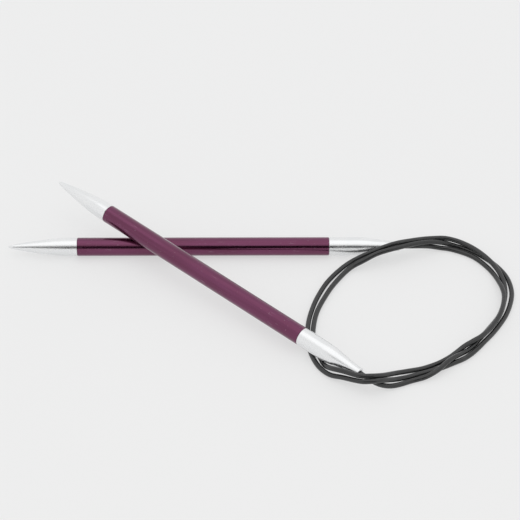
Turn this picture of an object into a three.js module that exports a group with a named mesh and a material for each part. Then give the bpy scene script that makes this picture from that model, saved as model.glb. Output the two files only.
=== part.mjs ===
// Circular knitting needle: two short aluminium needles joined by one flexible cord.
// Millimetres, +Z up, resting on z = 0. Each needle is a point, a coloured tube and a ferrule;
// a crimp sleeve on the cord's end turns inside the ferrule, so the cord does not wind up.
import * as THREE from 'three';

// Needle, all lengths along its axis and counted from the tip.
const NEEDLE_DIAMETER = 6;
const POINT_LENGTH = 22.5;
const TUBE_LENGTH = 82;
const FERRULE_LENGTH = 23;
const NEEDLE_LENGTH = POINT_LENGTH + TUBE_LENGTH + FERRULE_LENGTH;
const R = NEEDLE_DIAMETER / 2;
const TIP_RADIUS = 0.55;
const TAPER_LENGTH = 19.5;
const FERRULE_STRAIGHT = 8.5;
const MOUTH_RADIUS = 1.6;
const TUBE_BORE = 2.25;
const SPIGOT_RADIUS = 2.2;
const SPIGOT_LENGTH = 9;
const SEAM = 0.05;

// Cord, and the sleeve crimped on each of its ends.
const CORD_DIAMETER = 1.6;
const CORD_SIDES = 8;
const CORD_GAP = 0.3;
const NECK_LENGTH = 3.6;
const MOUTH_BORE = 0.95;
const MOUTH_BORE_LENGTH = 4;
const SLEEVE_BORE = 0.85;
const SLEEVE_RADIUS = 1.35;
const SLEEVE_SEAT_RADIUS = 1.45;
const COLLAR_RADIUS = 1.75;
const COLLAR_SEAT_RADIUS = 1.85;
const COLLAR_STEP = 12;
const END_PLAY = 0.3;
const SLEEVE_END = 14;

// Turned pieces are lathed in this many flats, one of them facing straight down.
const SIDES = 32;
const REST_HEIGHT = R * Math.cos(Math.PI / SIDES);

// Where the two needles lie. The lower one rests on the floor along X, and the upper one lies
// across it, heading to the right of +X and dropping towards the cord.
const LOWER_TIP = new THREE.Vector3(-NEEDLE_LENGTH / 2, 18.93, REST_HEIGHT);
const UPPER_TIP = new THREE.Vector3(-48.1, 42.13, 11.07);
const UPPER_HEADING = THREE.MathUtils.degToRad(-40.85);
const UPPER_DROP = THREE.MathUtils.degToRad(3.25);

// The coiled cord lies about an oval: LOOP_RADIUS from its centre, wider and narrower by
// LOOP_OVAL along the two diagonals.
const LOOP_CENTRE = new THREE.Vector2(65.05, -8.87);
const LOOP_RADIUS = 30.7;
const LOOP_OVAL = 4.6;

// The cord's way from the lower needle to the upper one, chosen by hand: the angle about the
// loop's centre in degrees, how far outside the oval it lies, and its height. It leaves the
// lower needle inside the other turns, and passes over and under them in long low humps.
const CORD_ROUTE = [
  [79, -3.8, 2.75], [73, -2.7, 1.6], [67, -2.2, 0.9], [61, -1.9, 0.8], [48, -1.6, 0.8],
  [36, -1.7, 0.8], [29, -1.7, 1.0], [22, -1.7, 1.6], [15, -1.3, 2.2], [8, -0.8, 2.4],
  [-1, -0.5, 2.5], [-10, -0.2, 2.5], [-22, -0.1, 2.4], [-33, -0.2, 2.4], [-41, -0.8, 2.4],
  [-48, -1.6, 1.8], [-55, -1.9, 1.1], [-63, -1.9, 0.8], [-73, -2.0, 0.8], [-84, -2.4, 0.8],
  [-94, -2.5, 1.2], [-101, -1.0, 2.4], [-105, 0.9, 3.6], [-108, 2.7, 4.8], [-111, 3.8, 5.4],
  [-115, 4.5, 5.4], [-119, 4.3, 5.1], [-124, 3.9, 4.6], [-130, 3.9, 3.6], [-134, 3.2, 2.2],
  [-138, 2.1, 0.9], [-143, 1.0, 0.8], [-148, 0.4, 0.8], [-155, -0.4, 0.8], [-166, -1.7, 0.8],
  [-177, -2.1, 0.8], [-191, -2.0, 0.8], [-209, -0.9, 0.8], [-228, -0.2, 1.3],
  [-237, -1.7, 2.7], [-248, -3.3, 4.3], [-258, -4.6, 4.9], [-267, -5.2, 5.0],
  [-275, -5.0, 4.9], [-282, -4.1, 4.4], [-288, -2.6, 3.5], [-294, -1.0, 2.2], [-300, 0.1, 1.0],
  [-307, 0.4, 0.8], [-315, 0.6, 0.8], [-326, 1.2, 0.8], [-336, 1.8, 0.8], [-346, 1.9, 0.8],
  [-354, 1.6, 0.8], [-366, 1.2, 0.8], [-382, 1.0, 0.8], [-394, 1.1, 0.8], [-401, 1.4, 0.8],
  [-408, 1.6, 0.8], [-415, 1.5, 0.8], [-423, 0.8, 0.8], [-433, 0.2, 0.8], [-444, -0.5, 0.8],
  [-453, -0.2, 0.9], [-460, 1.1, 1.8], [-464, 2.8, 3.2], [-467, 4.5, 4.5], [-470, 5.5, 4.8],
  [-474, 5.8, 4.4], [-478, 5.2, 3.6], [-484, 4.4, 2.4], [-491, 4.5, 1.1], [-498, 4.0, 0.8],
  [-507, 2.6, 0.8], [-516, 1.2, 0.8], [-528, 0.1, 0.8], [-541, -0.2, 0.8], [-553, 0.3, 0.8],
  [-569, 1.4, 0.8], [-588, 1.8, 1.2], [-599, 0.4, 2.5], [-609, -1.5, 4.0], [-619, -2.8, 5.1],
  [-627, -3.4, 5.4], [-635, -3.2, 5.0], [-642, -1.9, 4.1], [-648, -0.6, 3.4], [-654, 0.4, 3.1],
  [-661, 0.7, 2.7], [-669, 0.5, 2.4], [-677, 0.0, 2.4], [-685, -0.2, 2.3], [-692, -0.1, 1.9],
  [-697, 0.0, 1.3], [-704, -0.2, 0.9], [-711, -0.5, 0.8], [-726, -0.8, 0.8], [-742, -1.1, 0.8],
  [-753, -0.8, 0.8], [-761, -0.3, 0.8], [-768, -0.2, 0.9], [-775, -0.2, 1.5], [-782, 0.0, 2.2],
  [-789, 0.6, 2.5], [-796, 1.4, 1.9], [-804, 1.7, 1.1], [-811, 1.6, 0.8], [-817, 2.4, 0.8],
  [-822, 3.4, 1.2], [-826, 4.0, 2.1], [-829, 4.1, 3.0],
];

const PLUM = { color: 0x6d2a52, roughness: 0.33, metalness: 0.75 };
const SILVER = { color: 0xdcdfe0, roughness: 0.3, metalness: 0.85 };
const STEEL = { color: 0x8f9396, roughness: 0.4, metalness: 0.9 };
const CORD = { color: 0x2b2d30, roughness: 0.42, metalness: 0 };

function piece(name, geometry, look) {
  const mesh = new THREE.Mesh(geometry, new THREE.MeshStandardMaterial(look));
  mesh.name = name;
  return mesh;
}

// A turned piece along +X. The profile lists [distance along X, radius].
function turned(profile) {
  const outline = profile.map(([along, radius]) => new THREE.Vector2(radius, along));
  const geometry = new THREE.LatheGeometry(outline, SIDES, Math.PI / SIDES);
  return geometry.rotateZ(-Math.PI / 2);
}

// Radius of the working end: a blunt tip that swells quickly, then meets the shank smoothly.
function pointRadius(distance) {
  const s = Math.min(distance / TAPER_LENGTH, 1);
  return TIP_RADIUS + (R - TIP_RADIUS) * (1 - (1 - s) ** 1.45);
}

function pointGeometry() {
  const profile = [[0, 0], [0.12, TIP_RADIUS * 0.65]];
  for (const distance of [0.4, 1.5, 3, 5, 7.5, 10.5, 13.5, 16.5]) {
    profile.push([distance, pointRadius(distance)]);
  }
  profile.push([TAPER_LENGTH, R], [POINT_LENGTH, R], [POINT_LENGTH, SPIGOT_RADIUS]);
  profile.push([POINT_LENGTH + SPIGOT_LENGTH - 0.4, SPIGOT_RADIUS]);
  profile.push([POINT_LENGTH + SPIGOT_LENGTH, SPIGOT_RADIUS - 0.4], [POINT_LENGTH + SPIGOT_LENGTH, 0]);
  return turned(profile);
}

function tubeGeometry() {
  const start = POINT_LENGTH + SEAM;
  const end = POINT_LENGTH + TUBE_LENGTH - SEAM;
  return turned([[start, TUBE_BORE], [start, R], [end, R], [end, TUBE_BORE], [start, TUBE_BORE]]);
}

// Outer radius of the ferrule, by distance from the tube: straight, then a long smooth taper.
function ferruleRadius(distance) {
  const t = THREE.MathUtils.smoothstep(distance, FERRULE_STRAIGHT, FERRULE_LENGTH);
  return THREE.MathUtils.lerp(R, MOUTH_RADIUS, t);
}

function ferruleGeometry() {
  const start = POINT_LENGTH + TUBE_LENGTH;
  const mouth = NEEDLE_LENGTH;
  const profile = [[start - SPIGOT_LENGTH, COLLAR_SEAT_RADIUS], [start - SPIGOT_LENGTH, SPIGOT_RADIUS]];
  profile.push([start, SPIGOT_RADIUS], [start, R]);
  const steps = 8;
  for (let i = 0; i <= steps; i += 1) {
    const distance = THREE.MathUtils.lerp(FERRULE_STRAIGHT, FERRULE_LENGTH, i / steps);
    profile.push([start + distance, ferruleRadius(distance)]);
  }
  profile.push([mouth, MOUTH_BORE], [mouth - MOUTH_BORE_LENGTH, MOUTH_BORE]);
  profile.push([mouth - MOUTH_BORE_LENGTH, SLEEVE_SEAT_RADIUS], [mouth - COLLAR_STEP, SLEEVE_SEAT_RADIUS]);
  profile.push([mouth - COLLAR_STEP, COLLAR_SEAT_RADIUS], [start - SPIGOT_LENGTH, COLLAR_SEAT_RADIUS]);
  return turned(profile);
}

// The sleeve sits inside the ferrule, and its collar cannot pass the step towards the mouth.
function sleeveGeometry() {
  const front = NEEDLE_LENGTH - MOUTH_BORE_LENGTH - END_PLAY;
  const collar = NEEDLE_LENGTH - COLLAR_STEP - END_PLAY;
  const back = NEEDLE_LENGTH - SLEEVE_END;
  return turned([
    [back, SLEEVE_BORE], [back, COLLAR_RADIUS], [collar, COLLAR_RADIUS], [collar, SLEEVE_RADIUS],
    [front, SLEEVE_RADIUS], [front, SLEEVE_BORE], [back, SLEEVE_BORE],
  ]);
}

// The cord's own end, from the mouth to the back of the sleeve that is crimped on it.
function cordEndGeometry() {
  const back = NEEDLE_LENGTH - SLEEVE_END;
  const r = CORD_DIAMETER / 2;
  return turned([[back, 0], [back, r], [NEEDLE_LENGTH, r], [NEEDLE_LENGTH, 0]]);
}

function needle(side) {
  const group = new THREE.Group();
  group.name = `${side}_needle`;
  group.add(piece(`${side}_point`, pointGeometry(), SILVER));
  group.add(piece(`${side}_tube`, tubeGeometry(), PLUM));
  group.add(piece(`${side}_ferrule`, ferruleGeometry(), SILVER));
  group.add(piece(`${side}_crimp_sleeve`, sleeveGeometry(), STEEL));
  group.add(piece(`${side}_cable_end`, cordEndGeometry(), CORD));
  return group;
}

function placed(group, tip, heading, drop) {
  group.position.copy(tip);
  group.rotation.set(0, drop, heading, 'ZYX');
  group.updateMatrixWorld();
  return group;
}

// A cord path whose extrusion steps stand on the route's own points, so that the short humps
// get as many steps as they have points.
class CordPath extends THREE.CatmullRomCurve3 {
  getUtoTmapping(u) {
    return u;
  }
}

function cordGeometry(points) {
  const section = new THREE.Shape();
  for (let i = 0; i < CORD_SIDES; i += 1) {
    const angle = (2 * Math.PI * (i + 0.5)) / CORD_SIDES;
    const corner = [Math.cos(angle), Math.sin(angle)].map((c) => (c * CORD_DIAMETER) / 2);
    if (i === 0) section.moveTo(...corner);
    else section.lineTo(...corner);
  }
  section.closePath();
  const path = new CordPath(points);
  return new THREE.ExtrudeGeometry(section, {
    steps: points.length - 1, bevelEnabled: false, extrudePath: path,
  });
}

function routePoint([degrees, lane, height]) {
  const angle = THREE.MathUtils.degToRad(degrees);
  const reach = LOOP_RADIUS + LOOP_OVAL * Math.sin(2 * angle) + lane;
  const x = LOOP_CENTRE.x + reach * Math.cos(angle);
  const y = LOOP_CENTRE.y + reach * Math.sin(angle);
  return new THREE.Vector3(x, y, height);
}

// A point on a needle's axis, this far outside its mouth.
function outsideMouth(group, distance) {
  return group.localToWorld(new THREE.Vector3(NEEDLE_LENGTH + distance, 0, 0));
}

// The short stretch of cord next to a mouth, which bends when the needle turns.
function neck(name, group) {
  const ends = [outsideMouth(group, CORD_GAP), outsideMouth(group, CORD_GAP + NECK_LENGTH)];
  return piece(name, cordGeometry(ends), CORD);
}

function cable(lower, upper) {
  const start = 2 * CORD_GAP + NECK_LENGTH;
  const points = [
    outsideMouth(lower, start), ...CORD_ROUTE.map(routePoint), outsideMouth(upper, start),
  ];
  return piece('cable', cordGeometry(points), CORD);
}

function circularNeedle() {
  const lower = placed(needle('lower'), LOWER_TIP, 0, 0);
  const upper = placed(needle('upper'), UPPER_TIP, UPPER_HEADING, UPPER_DROP);
  const group = new THREE.Group();
  group.name = 'circular_knitting_needle';
  group.add(lower, upper, neck('lower_cable_neck', lower), neck('upper_cable_neck', upper));
  group.add(cable(lower, upper));
  return group;
}

export default circularNeedle();
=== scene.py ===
# Circular knitting needle: satin silver points and ferrules, plum anodised tubes and a dark
# coated cord, lying on a pale sweep in soft studio light. Metres, in the CAD model's frame.
from math import cos, pi, radians, sin

import bpy
from mathutils import Matrix, Vector


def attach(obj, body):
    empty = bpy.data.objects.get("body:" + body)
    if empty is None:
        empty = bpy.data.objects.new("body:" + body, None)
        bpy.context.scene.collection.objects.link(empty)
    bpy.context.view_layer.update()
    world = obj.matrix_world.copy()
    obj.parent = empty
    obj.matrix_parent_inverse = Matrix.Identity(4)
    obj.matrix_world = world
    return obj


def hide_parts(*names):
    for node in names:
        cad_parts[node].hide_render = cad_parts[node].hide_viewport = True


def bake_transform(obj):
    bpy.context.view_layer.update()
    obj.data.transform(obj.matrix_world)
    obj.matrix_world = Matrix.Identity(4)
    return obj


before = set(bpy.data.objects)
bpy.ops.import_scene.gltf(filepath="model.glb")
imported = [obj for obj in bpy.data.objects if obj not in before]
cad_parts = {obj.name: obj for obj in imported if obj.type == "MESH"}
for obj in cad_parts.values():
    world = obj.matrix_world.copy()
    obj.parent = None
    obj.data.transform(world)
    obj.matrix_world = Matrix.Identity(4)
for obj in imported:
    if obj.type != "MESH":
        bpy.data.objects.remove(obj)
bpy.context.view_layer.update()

MM = 0.001

# Needle, as in the CAD: lengths along its axis from the tip.
RADIUS = 3 * MM
POINT_LENGTH = 22.5 * MM
TUBE_LENGTH = 82 * MM
FERRULE_LENGTH = 23 * MM
NEEDLE_LENGTH = POINT_LENGTH + TUBE_LENGTH + FERRULE_LENGTH
TIP_RADIUS = 0.55 * MM
NOSE_LENGTH = 0.8 * TIP_RADIUS
TAPER_LENGTH = 19.5 * MM
TAPER_SWELL = 1.45
FERRULE_STRAIGHT = 8.5 * MM
MOUTH_RADIUS = 1.6 * MM
MOUTH_LIP = 0.2 * MM
MOUTH_BORE = 0.95 * MM
MOUTH_BORE_LENGTH = 4 * MM
SLEEVE_SEAT_RADIUS = 1.45 * MM
COLLAR_SEAT_RADIUS = 1.85 * MM
COLLAR_STEP = 12 * MM
TUBE_BORE = 2.25 * MM
SPIGOT_RADIUS = 2.2 * MM
SPIGOT_LENGTH = 9 * MM
SEAM = 0.05 * MM
EDGE = 0.08 * MM
ROUND_SIDES = 128
CRISP_FROM = 0.35

# Cord. A neck runs from inside the ferrule to NECK_END past its mouth.
CORD_RADIUS = 0.8 * MM
CORD_STEP = 0.9 * MM
NECK_START = -1.2 * MM
NECK_END = 4.05 * MM

# Where the needles lie.
LOWER = Matrix.Translation(Vector((-63.75, 18.93, 2.9856)) * MM)
UPPER = (
    Matrix.Translation(Vector((-48.1, 42.13, 11.07)) * MM)
    @ Matrix.Rotation(radians(-40.85), 4, "Z")
    @ Matrix.Rotation(radians(3.25), 4, "Y")
)

# The coil's oval, and the cord's route about it as in the CAD: degrees about the centre,
# millimetres outside the oval, and height in millimetres.
LOOP_CENTRE = Vector((65.05, -8.87))
LOOP_RADIUS = 30.7
LOOP_OVAL = 4.6
CORD_ROUTE = [
    (79, -3.8, 2.75), (73, -2.7, 1.6), (67, -2.2, 0.9), (61, -1.9, 0.8), (48, -1.6, 0.8),
    (36, -1.7, 0.8), (29, -1.7, 1.0), (22, -1.7, 1.6), (15, -1.3, 2.2), (8, -0.8, 2.4),
    (-1, -0.5, 2.5), (-10, -0.2, 2.5), (-22, -0.1, 2.4), (-33, -0.2, 2.4), (-41, -0.8, 2.4),
    (-48, -1.6, 1.8), (-55, -1.9, 1.1), (-63, -1.9, 0.8), (-73, -2.0, 0.8), (-84, -2.4, 0.8),
    (-94, -2.5, 1.2), (-101, -1.0, 2.4), (-105, 0.9, 3.6), (-108, 2.7, 4.8), (-111, 3.8, 5.4),
    (-115, 4.5, 5.4), (-119, 4.3, 5.1), (-124, 3.9, 4.6), (-130, 3.9, 3.6), (-134, 3.2, 2.2),
    (-138, 2.1, 0.9), (-143, 1.0, 0.8), (-148, 0.4, 0.8), (-155, -0.4, 0.8), (-166, -1.7, 0.8),
    (-177, -2.1, 0.8), (-191, -2.0, 0.8), (-209, -0.9, 0.8), (-228, -0.2, 1.3),
    (-237, -1.7, 2.7), (-248, -3.3, 4.3), (-258, -4.6, 4.9), (-267, -5.2, 5.0),
    (-275, -5.0, 4.9), (-282, -4.1, 4.4), (-288, -2.6, 3.5), (-294, -1.0, 2.2),
    (-300, 0.1, 1.0), (-307, 0.4, 0.8), (-315, 0.6, 0.8), (-326, 1.2, 0.8), (-336, 1.8, 0.8),
    (-346, 1.9, 0.8), (-354, 1.6, 0.8), (-366, 1.2, 0.8), (-382, 1.0, 0.8), (-394, 1.1, 0.8),
    (-401, 1.4, 0.8), (-408, 1.6, 0.8), (-415, 1.5, 0.8), (-423, 0.8, 0.8), (-433, 0.2, 0.8),
    (-444, -0.5, 0.8), (-453, -0.2, 0.9), (-460, 1.1, 1.8), (-464, 2.8, 3.2), (-467, 4.5, 4.5),
    (-470, 5.5, 4.8), (-474, 5.8, 4.4), (-478, 5.2, 3.6), (-484, 4.4, 2.4), (-491, 4.5, 1.1),
    (-498, 4.0, 0.8), (-507, 2.6, 0.8), (-516, 1.2, 0.8), (-528, 0.1, 0.8), (-541, -0.2, 0.8),
    (-553, 0.3, 0.8), (-569, 1.4, 0.8), (-588, 1.8, 1.2), (-599, 0.4, 2.5), (-609, -1.5, 4.0),
    (-619, -2.8, 5.1), (-627, -3.4, 5.4), (-635, -3.2, 5.0), (-642, -1.9, 4.1),
    (-648, -0.6, 3.4), (-654, 0.4, 3.1), (-661, 0.7, 2.7), (-669, 0.5, 2.4), (-677, 0.0, 2.4),
    (-685, -0.2, 2.3), (-692, -0.1, 1.9), (-697, 0.0, 1.3), (-704, -0.2, 0.9),
    (-711, -0.5, 0.8), (-726, -0.8, 0.8), (-742, -1.1, 0.8), (-753, -0.8, 0.8),
    (-761, -0.3, 0.8), (-768, -0.2, 0.9), (-775, -0.2, 1.5), (-782, 0.0, 2.2),
    (-789, 0.6, 2.5), (-796, 1.4, 1.9), (-804, 1.7, 1.1), (-811, 1.6, 0.8), (-817, 2.4, 0.8),
    (-822, 3.4, 1.2), (-826, 4.0, 2.1), (-829, 4.1, 3.0),
]

# Camera: where it stands, which way it looks and its long lens.
CAMERA_AT = Vector((8.45, -523.87, 477.2)) * MM
CAMERA_HEADING = 1.04
CAMERA_DOWN = 41.49
CAMERA_ROLL = 0.56
CAMERA_LENS = 152.9

# Colours, as linear red, green and blue.
PLUM_DEEP = (0.142, 0.03, 0.082)
PLUM_BRIGHT = (0.172, 0.04, 0.106)
PLUM_CLOUD = (0.125, 0.025, 0.064)
PLUM_WORN = (0.62, 0.5, 0.58)
SILVER_DULL = (0.83, 0.842, 0.85)
SILVER_BRIGHT = (0.87, 0.876, 0.882)
SILVER_SCRATCH = (0.74, 0.75, 0.77)
STEEL_DARK = (0.4, 0.41, 0.42)
STEEL_PALE = (0.62, 0.63, 0.65)
CORD_DARK = (0.004, 0.0043, 0.0047)
CORD_GREY = (0.009, 0.0096, 0.0105)
CORD_RUBBED = (0.03, 0.031, 0.033)
FLOOR_COOL = (0.3, 0.302, 0.305)
FLOOR_WARM = (0.32, 0.32, 0.318)

# The set, in metres. What is aimed points at AIM, on the floor under the object's middle.
AIM = (0.02, 0, 0)
FLOOR_SIZE = (6, 6)
FLOOR_HEIGHT = -0.02 * MM
FLOOR_GLOW = 0.54
TENT_STRENGTH = 0.9
SOFTBOX_AT = (0.02, 0.05, 1.1)
SOFTBOX_SIZE = (1.4, 1.1)
SOFTBOX_WATTS = 1.3
LENS_CARD_AT = (0.02, -0.8, 0.54)
LENS_CARD_SIZE = (1.3, 0.56)
LENS_CARD_COLOUR = (0.01, 0.01, 0.01, 1)


def on_axis(place, distance):
    """The point this far from the tip on the axis of the needle that lies at place."""
    return place @ Vector((distance, 0, 0))


def add(name, data):
    obj = bpy.data.objects.new(name, data)
    bpy.context.scene.collection.objects.link(obj)
    return obj


def make_camera():
    data = bpy.data.cameras.new("camera")
    data.sensor_width = 36
    data.lens = CAMERA_LENS
    camera = add("camera", data)
    camera.matrix_world = (
        Matrix.Translation(CAMERA_AT)
        @ Matrix.Rotation(radians(-CAMERA_HEADING), 4, "Z")
        @ Matrix.Rotation(radians(90 - CAMERA_DOWN), 4, "X")
        @ Matrix.Rotation(radians(CAMERA_ROLL), 4, "Z")
    )
    bpy.context.scene.camera = camera


def route_point(degrees, lane, height):
    """A row of the cord's route as a point of the frame."""
    angle = radians(degrees)
    reach = LOOP_RADIUS + LOOP_OVAL * sin(2 * angle) + lane
    flat = LOOP_CENTRE + reach * Vector((cos(angle), sin(angle)))
    return Vector((flat.x, flat.y, height)) * MM


def smooth_line(points):
    """A centripetal Catmull-Rom line through the points, sampled about every CORD_STEP.
    Each sample is worked out by Barry and Goldman's pyramid of straight blends."""
    ends = [2 * points[0] - points[1], *points, 2 * points[-1] - points[-2]]
    line = []
    for a, b, c, d in zip(ends, ends[1:], ends[2:], ends[3:]):
        t1 = (b - a).length ** 0.5
        t2 = t1 + (c - b).length ** 0.5
        t3 = t2 + (d - c).length ** 0.5
        count = max(2, round((c - b).length / CORD_STEP))
        for i in range(count):
            t = t1 + (t2 - t1) * i / count
            ab = a.lerp(b, t / t1)
            bc = b.lerp(c, (t - t1) / (t2 - t1))
            cd = c.lerp(d, (t - t2) / (t3 - t2))
            abc = ab.lerp(bc, t / t2)
            bcd = bc.lerp(cd, (t - t1) / (t3 - t1))
            line.append(abc.lerp(bcd, (t - t1) / (t2 - t1)))
    line.append(points[-1])
    return line


def line_length(line):
    return sum((b - a).length for a, b in zip(line, line[1:]))


def make_cord(look):
    """The coiled stretch of cord, between the two necks."""
    points = [on_axis(LOWER, NEEDLE_LENGTH + NECK_END)]
    points += [route_point(*row) for row in CORD_ROUTE]
    points.append(on_axis(UPPER, NEEDLE_LENGTH + NECK_END))
    line = smooth_line(points)
    for point in line:
        point.z = max(point.z, CORD_RADIUS)
    data = bpy.data.curves.new("cord", "CURVE")
    data.dimensions = "3D"
    data.bevel_depth = CORD_RADIUS
    data.bevel_resolution = 6
    data.use_fill_caps = True
    spline = data.splines.new("POLY")
    spline.points.add(len(line) - 1)
    for target, point in zip(spline.points, line):
        target.co = (*point, 1)
    data.materials.append(look)
    cord = add("cord", data)
    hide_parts("cable")
    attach(cord, "cable")
    return cord, line_length(line)


def lathe_mesh(name, profile):
    """A closed round mesh about +X from (distance, radius) points. A profile that starts off
    the axis closes on itself. Edges sharper than CRISP_FROM radians stay crisp."""
    closed = profile[0][1] > 0
    verts = []
    rings = []
    for along, radius in profile:
        if radius == 0:
            rings.append([len(verts)])
            verts.append((along, 0, 0))
            continue
        rings.append(list(range(len(verts), len(verts) + ROUND_SIDES)))
        for i in range(ROUND_SIDES):
            turn = 2 * pi * i / ROUND_SIDES
            verts.append((along, radius * sin(turn), radius * cos(turn)))
    faces = []
    pairs = list(zip(rings, rings[1:]))
    if closed:
        pairs.append((rings[-1], rings[0]))
    for a, b in pairs:
        for i in range(ROUND_SIDES):
            j = (i + 1) % ROUND_SIDES
            corners = [a[i % len(a)], b[i % len(b)], b[j % len(b)], a[j % len(a)]]
            faces.append(list(dict.fromkeys(corners)))
    mesh = bpy.data.meshes.new(name)
    mesh.from_pydata(verts, [], faces)
    mesh.validate()
    mesh.set_sharp_from_angle(angle=CRISP_FROM)
    return mesh


def make_neck(side, place, look):
    """The first millimetres of cord outside a mouth."""
    rings = 24
    profile = [(NEEDLE_LENGTH + NECK_START, 0)]
    for i in range(rings + 1):
        along = NECK_START + (NECK_END - NECK_START) * i / rings
        profile.append((NEEDLE_LENGTH + along, CORD_RADIUS))
    profile.append((NEEDLE_LENGTH + NECK_END, 0))
    neck = add(f"{side}_neck", lathe_mesh(f"{side}_neck", profile))
    neck.matrix_world = place
    neck.data.materials.append(look)
    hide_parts(f"{side}_cable_neck")
    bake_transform(neck)
    return neck


def smoothstep(value, low, high):
    """0 below low, 1 above high and an even S between them."""
    t = min(max((value - low) / (high - low), 0), 1)
    return t * t * (3 - 2 * t)


def point_profile():
    """A round nose, a taper that swells towards the needle's diameter, and the spigot."""
    profile = [(0, 0)]
    nose_steps = 6
    for i in range(1, nose_steps + 1):
        turn = pi / 2 * i / nose_steps
        profile.append((NOSE_LENGTH * (1 - cos(turn)), NOSE_LENGTH * sin(turn)))
    taper_steps = 44
    for i in range(1, taper_steps + 1):
        s = i / taper_steps
        swell = TIP_RADIUS + (RADIUS - TIP_RADIUS) * (1 - (1 - s) ** TAPER_SWELL)
        profile.append((TIP_RADIUS + s * (TAPER_LENGTH - TIP_RADIUS), swell))
    end = POINT_LENGTH
    profile += [(end - EDGE, RADIUS), (end, RADIUS - EDGE), (end, SPIGOT_RADIUS)]
    profile += [(end + SPIGOT_LENGTH, SPIGOT_RADIUS), (end + SPIGOT_LENGTH, 0)]
    return profile


def tube_profile():
    """The plain tube, a hair shorter than its place so that the seams show."""
    start = POINT_LENGTH + SEAM
    end = POINT_LENGTH + TUBE_LENGTH - SEAM
    return [
        (start, TUBE_BORE), (start, RADIUS - EDGE), (start + EDGE, RADIUS),
        (end - EDGE, RADIUS), (end, RADIUS - EDGE), (end, TUBE_BORE),
    ]


def ferrule_profile():
    """The spigot, the straight stretch, the taper to a rounded mouth, and the stepped bore."""
    start = POINT_LENGTH + TUBE_LENGTH
    mouth = NEEDLE_LENGTH
    profile = [(start - SPIGOT_LENGTH, COLLAR_SEAT_RADIUS), (start - SPIGOT_LENGTH, SPIGOT_RADIUS)]
    profile += [(start, SPIGOT_RADIUS), (start, RADIUS - EDGE), (start + EDGE, RADIUS)]
    taper_steps = 40
    taper = FERRULE_LENGTH - FERRULE_STRAIGHT
    for i in range(taper_steps):
        distance = FERRULE_STRAIGHT + taper * i / taper_steps
        narrowing = smoothstep(distance, FERRULE_STRAIGHT, FERRULE_LENGTH)
        profile.append((start + distance, RADIUS + (MOUTH_RADIUS - RADIUS) * narrowing))
    lip = MOUTH_LIP
    lip_steps = 4
    for i in range(lip_steps + 1):
        turn = pi / 2 * i / lip_steps
        profile.append((mouth - lip + lip * sin(turn), MOUTH_RADIUS - lip + lip * cos(turn)))
    profile += [(mouth, MOUTH_BORE), (mouth - MOUTH_BORE_LENGTH, MOUTH_BORE)]
    profile += [(mouth - MOUTH_BORE_LENGTH, SLEEVE_SEAT_RADIUS)]
    profile += [(mouth - COLLAR_STEP, SLEEVE_SEAT_RADIUS)]
    profile += [(mouth - COLLAR_STEP, COLLAR_SEAT_RADIUS)]
    return profile


def make_needle(side, place, looks):
    """The point, tube and ferrule of one needle, which turn together."""
    for part, profile, slot in (
        ("point", point_profile(), "point_metal"),
        ("tube", tube_profile(), "plum_tube"),
        ("ferrule", ferrule_profile(), "ferrule_metal"),
    ):
        name = f"{side}_{part}_fine"
        obj = add(name, lathe_mesh(name, profile))
        obj.matrix_world = place
        obj.data.materials.append(looks[slot])
        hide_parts(f"{side}_{part}")
        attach(obj, f"{side}_needle")


class Look:
    """A Principled material with small helpers for procedural detail in object space."""

    def __init__(self, name):
        self.material = bpy.data.materials.new(name)
        self.material.use_nodes = True
        self.nodes = self.material.node_tree.nodes
        self.links = self.material.node_tree.links
        self.shader = self.nodes["Principled BSDF"]
        self.place = self.nodes.new("ShaderNodeTexCoord").outputs["Object"]

    def set(self, **values):
        for name, value in values.items():
            self.shader.inputs[name.replace("_", " ")].default_value = value

    def stretched(self, along, across):
        """Object space scaled to so many features per metre along and across the needle."""
        node = self.nodes.new("ShaderNodeMapping")
        node.inputs["Scale"].default_value = (along, across, across)
        self.links.new(self.place, node.inputs["Vector"])
        return node.outputs["Vector"]

    def noise(self, vector, detail=3, distortion=0):
        node = self.nodes.new("ShaderNodeTexNoise")
        node.inputs["Scale"].default_value = 1
        node.inputs["Detail"].default_value = detail
        node.inputs["Distortion"].default_value = distortion
        self.links.new(vector, node.inputs["Vector"])
        return node.outputs["Fac"]

    def spread(self, value, low, high, out_low=0, out_high=1):
        """Carries low..high of a value to out_low..out_high, with soft ends."""
        node = self.nodes.new("ShaderNodeMapRange")
        node.interpolation_type = "SMOOTHSTEP"
        self.links.new(value, node.inputs["Value"])
        ends = {"From Min": low, "From Max": high, "To Min": out_low, "To Max": out_high}
        for name, number in ends.items():
            node.inputs[name].default_value = number
        return node.outputs["Result"]

    def maths(self, operation, a, b):
        node = self.nodes.new("ShaderNodeMath")
        node.operation = operation
        for socket, value in zip(node.inputs, (a, b)):
            if isinstance(value, (int, float)):
                socket.default_value = value
            else:
                self.links.new(value, socket)
        return node.outputs["Value"]

    def mix(self, factor, a, b):
        node = self.nodes.new("ShaderNodeMix")
        node.data_type = "RGBA"
        self.links.new(factor, node.inputs["Factor"])
        for name, colour in (("A", a), ("B", b)):
            socket = [s for s in node.inputs if s.name == name and s.type == "RGBA"][0]
            if isinstance(colour, tuple):
                socket.default_value = (*colour, 1)
            else:
                self.links.new(colour, socket)
        return [s for s in node.outputs if s.type == "RGBA"][0]

    def use(self, output, name):
        self.links.new(output, self.shader.inputs[name])

    def bump(self, height, depth):
        """Roughens the surface by a height from 0 to 1, this many metres deep."""
        node = self.nodes.new("ShaderNodeBump")
        node.inputs["Distance"].default_value = depth
        self.links.new(height, node.inputs["Height"])
        self.links.new(node.outputs["Normal"], self.shader.inputs["Normal"])


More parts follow.
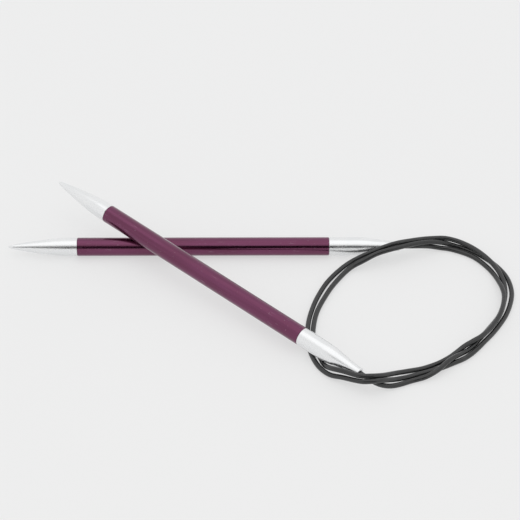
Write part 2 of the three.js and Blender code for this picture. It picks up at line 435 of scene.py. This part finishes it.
def scratches(look, along, across, rarity):
    """Fine hairlines: the crest of a noise much longer one way than the other."""
    lines = look.noise(look.stretched(along, across), detail=2, distortion=0.2)
    patches = look.noise(look.stretched(90, 260), detail=2)
    kept = look.spread(patches, 0.5, 0.62)
    return look.maths("MULTIPLY", look.spread(lines, rarity, rarity + 0.05), kept)


def plum_look():
    """Anodised tube: deep plum with faint streaks, hairline scratches and paler specks."""
    look = Look("plum_anodised")
    streaks = look.noise(look.stretched(25, 900), detail=4)
    clouds = look.noise(look.stretched(60, 220), detail=3)
    tone = look.mix(look.spread(streaks, 0.35, 0.65), PLUM_DEEP, PLUM_BRIGHT)
    tone = look.mix(look.spread(clouds, 0.3, 0.7, 0, 0.5), tone, PLUM_CLOUD)
    hair = scratches(look, 220, 5200, 0.66)
    specks = look.spread(look.noise(look.stretched(2400, 2400), detail=1), 0.76, 0.8)
    worn = look.maths("MAXIMUM", look.maths("MULTIPLY", hair, 0.55), specks)
    look.use(look.mix(look.maths("MULTIPLY", worn, 0.5), tone, PLUM_WORN), "Base Color")
    look.set(Metallic=0.95, Coat_Weight=0.5, Coat_Roughness=0.16)
    grain = look.noise(look.stretched(500, 6000), detail=3)
    smudge = look.spread(clouds, 0.3, 0.75, 0.18, 0.25)
    look.use(look.maths("ADD", smudge, look.maths("MULTIPLY", hair, 0.2)), "Roughness")
    raised = look.maths("MULTIPLY", grain, 0.35)
    sunk = look.maths("MULTIPLY", worn, -0.6)
    look.bump(look.maths("ADD", raised, sunk), 0.004 * MM)
    return look.material


def silver_look(name, shift):
    """Satin aluminium, turned and polished: rings left by the tool, smudges and hairlines.
    The shift makes the points and the ferrules differ."""
    look = Look(name)
    rings = look.noise(look.stretched(5200, 60), detail=3)
    clouds = look.noise(look.stretched(110 + shift, 240), detail=4)
    hair = scratches(look, 260 + shift, 3000, 0.66)
    tone = look.mix(look.spread(clouds, 0.3, 0.7), SILVER_DULL, SILVER_BRIGHT)
    tone = look.mix(look.maths("MULTIPLY", hair, 0.3), tone, SILVER_SCRATCH)
    look.use(tone, "Base Color")
    look.set(Metallic=0.92)
    satin = look.spread(clouds, 0.25, 0.75, 0.19, 0.28)
    look.use(look.maths("ADD", satin, look.maths("MULTIPLY", rings, 0.05)), "Roughness")
    height = look.maths("ADD", rings, look.maths("MULTIPLY", hair, -0.7))
    look.bump(height, 0.0012 * MM)
    return look.material


def steel_look():
    """The crimped sleeve inside the ferrule, drawn along its length."""
    look = Look("sleeve_steel")
    drawn = look.noise(look.stretched(200, 5000), detail=4)
    look.use(look.mix(drawn, STEEL_DARK, STEEL_PALE), "Base Color")
    look.set(Metallic=1.0)
    look.use(look.spread(drawn, 0.2, 0.8, 0.3, 0.5), "Roughness")
    look.bump(drawn, 0.006 * MM)
    return look.material


def cord_look():
    """Coated cord: dark grey semi-gloss plastic, slightly uneven and lightly rubbed."""
    look = Look("cord_coating")
    clouds = look.noise(look.stretched(160, 160), detail=3)
    fine = look.noise(look.stretched(2600, 2600), detail=3)
    rubbed = look.spread(look.noise(look.stretched(420, 420), detail=3), 0.56, 0.72)
    tone = look.mix(look.spread(clouds, 0.3, 0.7), CORD_DARK, CORD_GREY)
    look.use(look.mix(look.maths("MULTIPLY", rubbed, 0.5), tone, CORD_RUBBED), "Base Color")
    look.set(Specular_IOR_Level=0.6, Coat_Weight=0.25, Coat_Roughness=0.06)
    satin = look.spread(clouds, 0.3, 0.7, 0.2, 0.28)
    look.use(look.maths("ADD", satin, look.maths("MULTIPLY", fine, 0.08)), "Roughness")
    look.bump(look.maths("ADD", fine, clouds), 0.004 * MM)
    return look.material


def floor_look():
    """Smooth pale card with the faintest unevenness. It gives off some light of its own, so
    that shadows on it stay faint."""
    look = Look("floor_card")
    clouds = look.noise(look.stretched(3, 3), detail=2)
    fibres = look.noise(look.stretched(1500, 1500), detail=3)
    look.use(look.mix(clouds, FLOOR_COOL, FLOOR_WARM), "Base Color")
    look.set(Roughness=0.75, Specular_IOR_Level=0.2)
    look.set(Emission_Color=(1, 1, 1, 1), Emission_Strength=FLOOR_GLOW)
    look.bump(fibres, 0.01 * MM)
    return look.material


def card(name, size, look):
    """A flat rectangle facing its own +Z."""
    width, height = size[0] / 2, size[1] / 2
    mesh = bpy.data.meshes.new(name)
    mesh.from_pydata(
        [(-width, -height, 0), (width, -height, 0), (width, height, 0), (-width, height, 0)],
        [], [(0, 1, 2, 3)],
    )
    mesh.materials.append(look)
    obj = add(name, mesh)
    return obj


def aimed(obj, place):
    """Stands an object at place with its +Z turned away from AIM, as a light's is."""
    obj.location = place
    obj.rotation_euler = (Vector(place) - Vector(AIM)).to_track_quat("Z", "Y").to_euler()


def make_floor():
    floor = card("floor", FLOOR_SIZE, floor_look())
    floor.location.z = FLOOR_HEIGHT


def make_softbox():
    data = bpy.data.lights.new("top_softbox", "AREA")
    data.shape = "RECTANGLE"
    data.size, data.size_y = SOFTBOX_SIZE
    data.energy = SOFTBOX_WATTS
    aimed(add("top_softbox", data), SOFTBOX_AT)


def make_lens_card():
    """The dark card about the lens, for reflections: it casts no shadow and doesn't dim
    the diffuse light."""
    dark = Look("dark_card")
    dark.set(Base_Color=LENS_CARD_COLOUR, Roughness=1.0, Specular_IOR_Level=0.0)
    lens_card = card("lens_card", LENS_CARD_SIZE, dark.material)
    aimed(lens_card, LENS_CARD_AT)
    lens_card.visible_diffuse = False
    lens_card.visible_shadow = False


def make_light():
    """A white tent: light all round, brighter from above, dark about the lens."""
    world = bpy.data.worlds.new("tent")
    world.use_nodes = True
    background = world.node_tree.nodes["Background"]
    background.inputs["Color"].default_value = (1, 1, 1, 1)
    background.inputs["Strength"].default_value = TENT_STRENGTH
    bpy.context.scene.world = world
    make_softbox()
    make_lens_card()


def main():
    bpy.context.scene.view_settings.view_transform = "Standard"
    make_camera()
    coating = cord_look()
    cord, length = make_cord(coating)
    necks = [make_neck("lower", LOWER, coating), make_neck("upper", UPPER, coating)]
    looks = {
        "point_metal": silver_look("point_satin", 0),
        "plum_tube": plum_look(),
        "ferrule_metal": silver_look("ferrule_satin", 30),
    }
    make_needle("lower", LOWER, looks)
    make_needle("upper", UPPER, looks)
    steel = steel_look()
    for side in ("lower", "upper"):
        for node, look in ((f"{side}_crimp_sleeve", steel), (f"{side}_cable_end", coating)):
            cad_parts[node].data.materials.clear()
            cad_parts[node].data.materials.append(look)
    make_floor()
    make_light()


main()
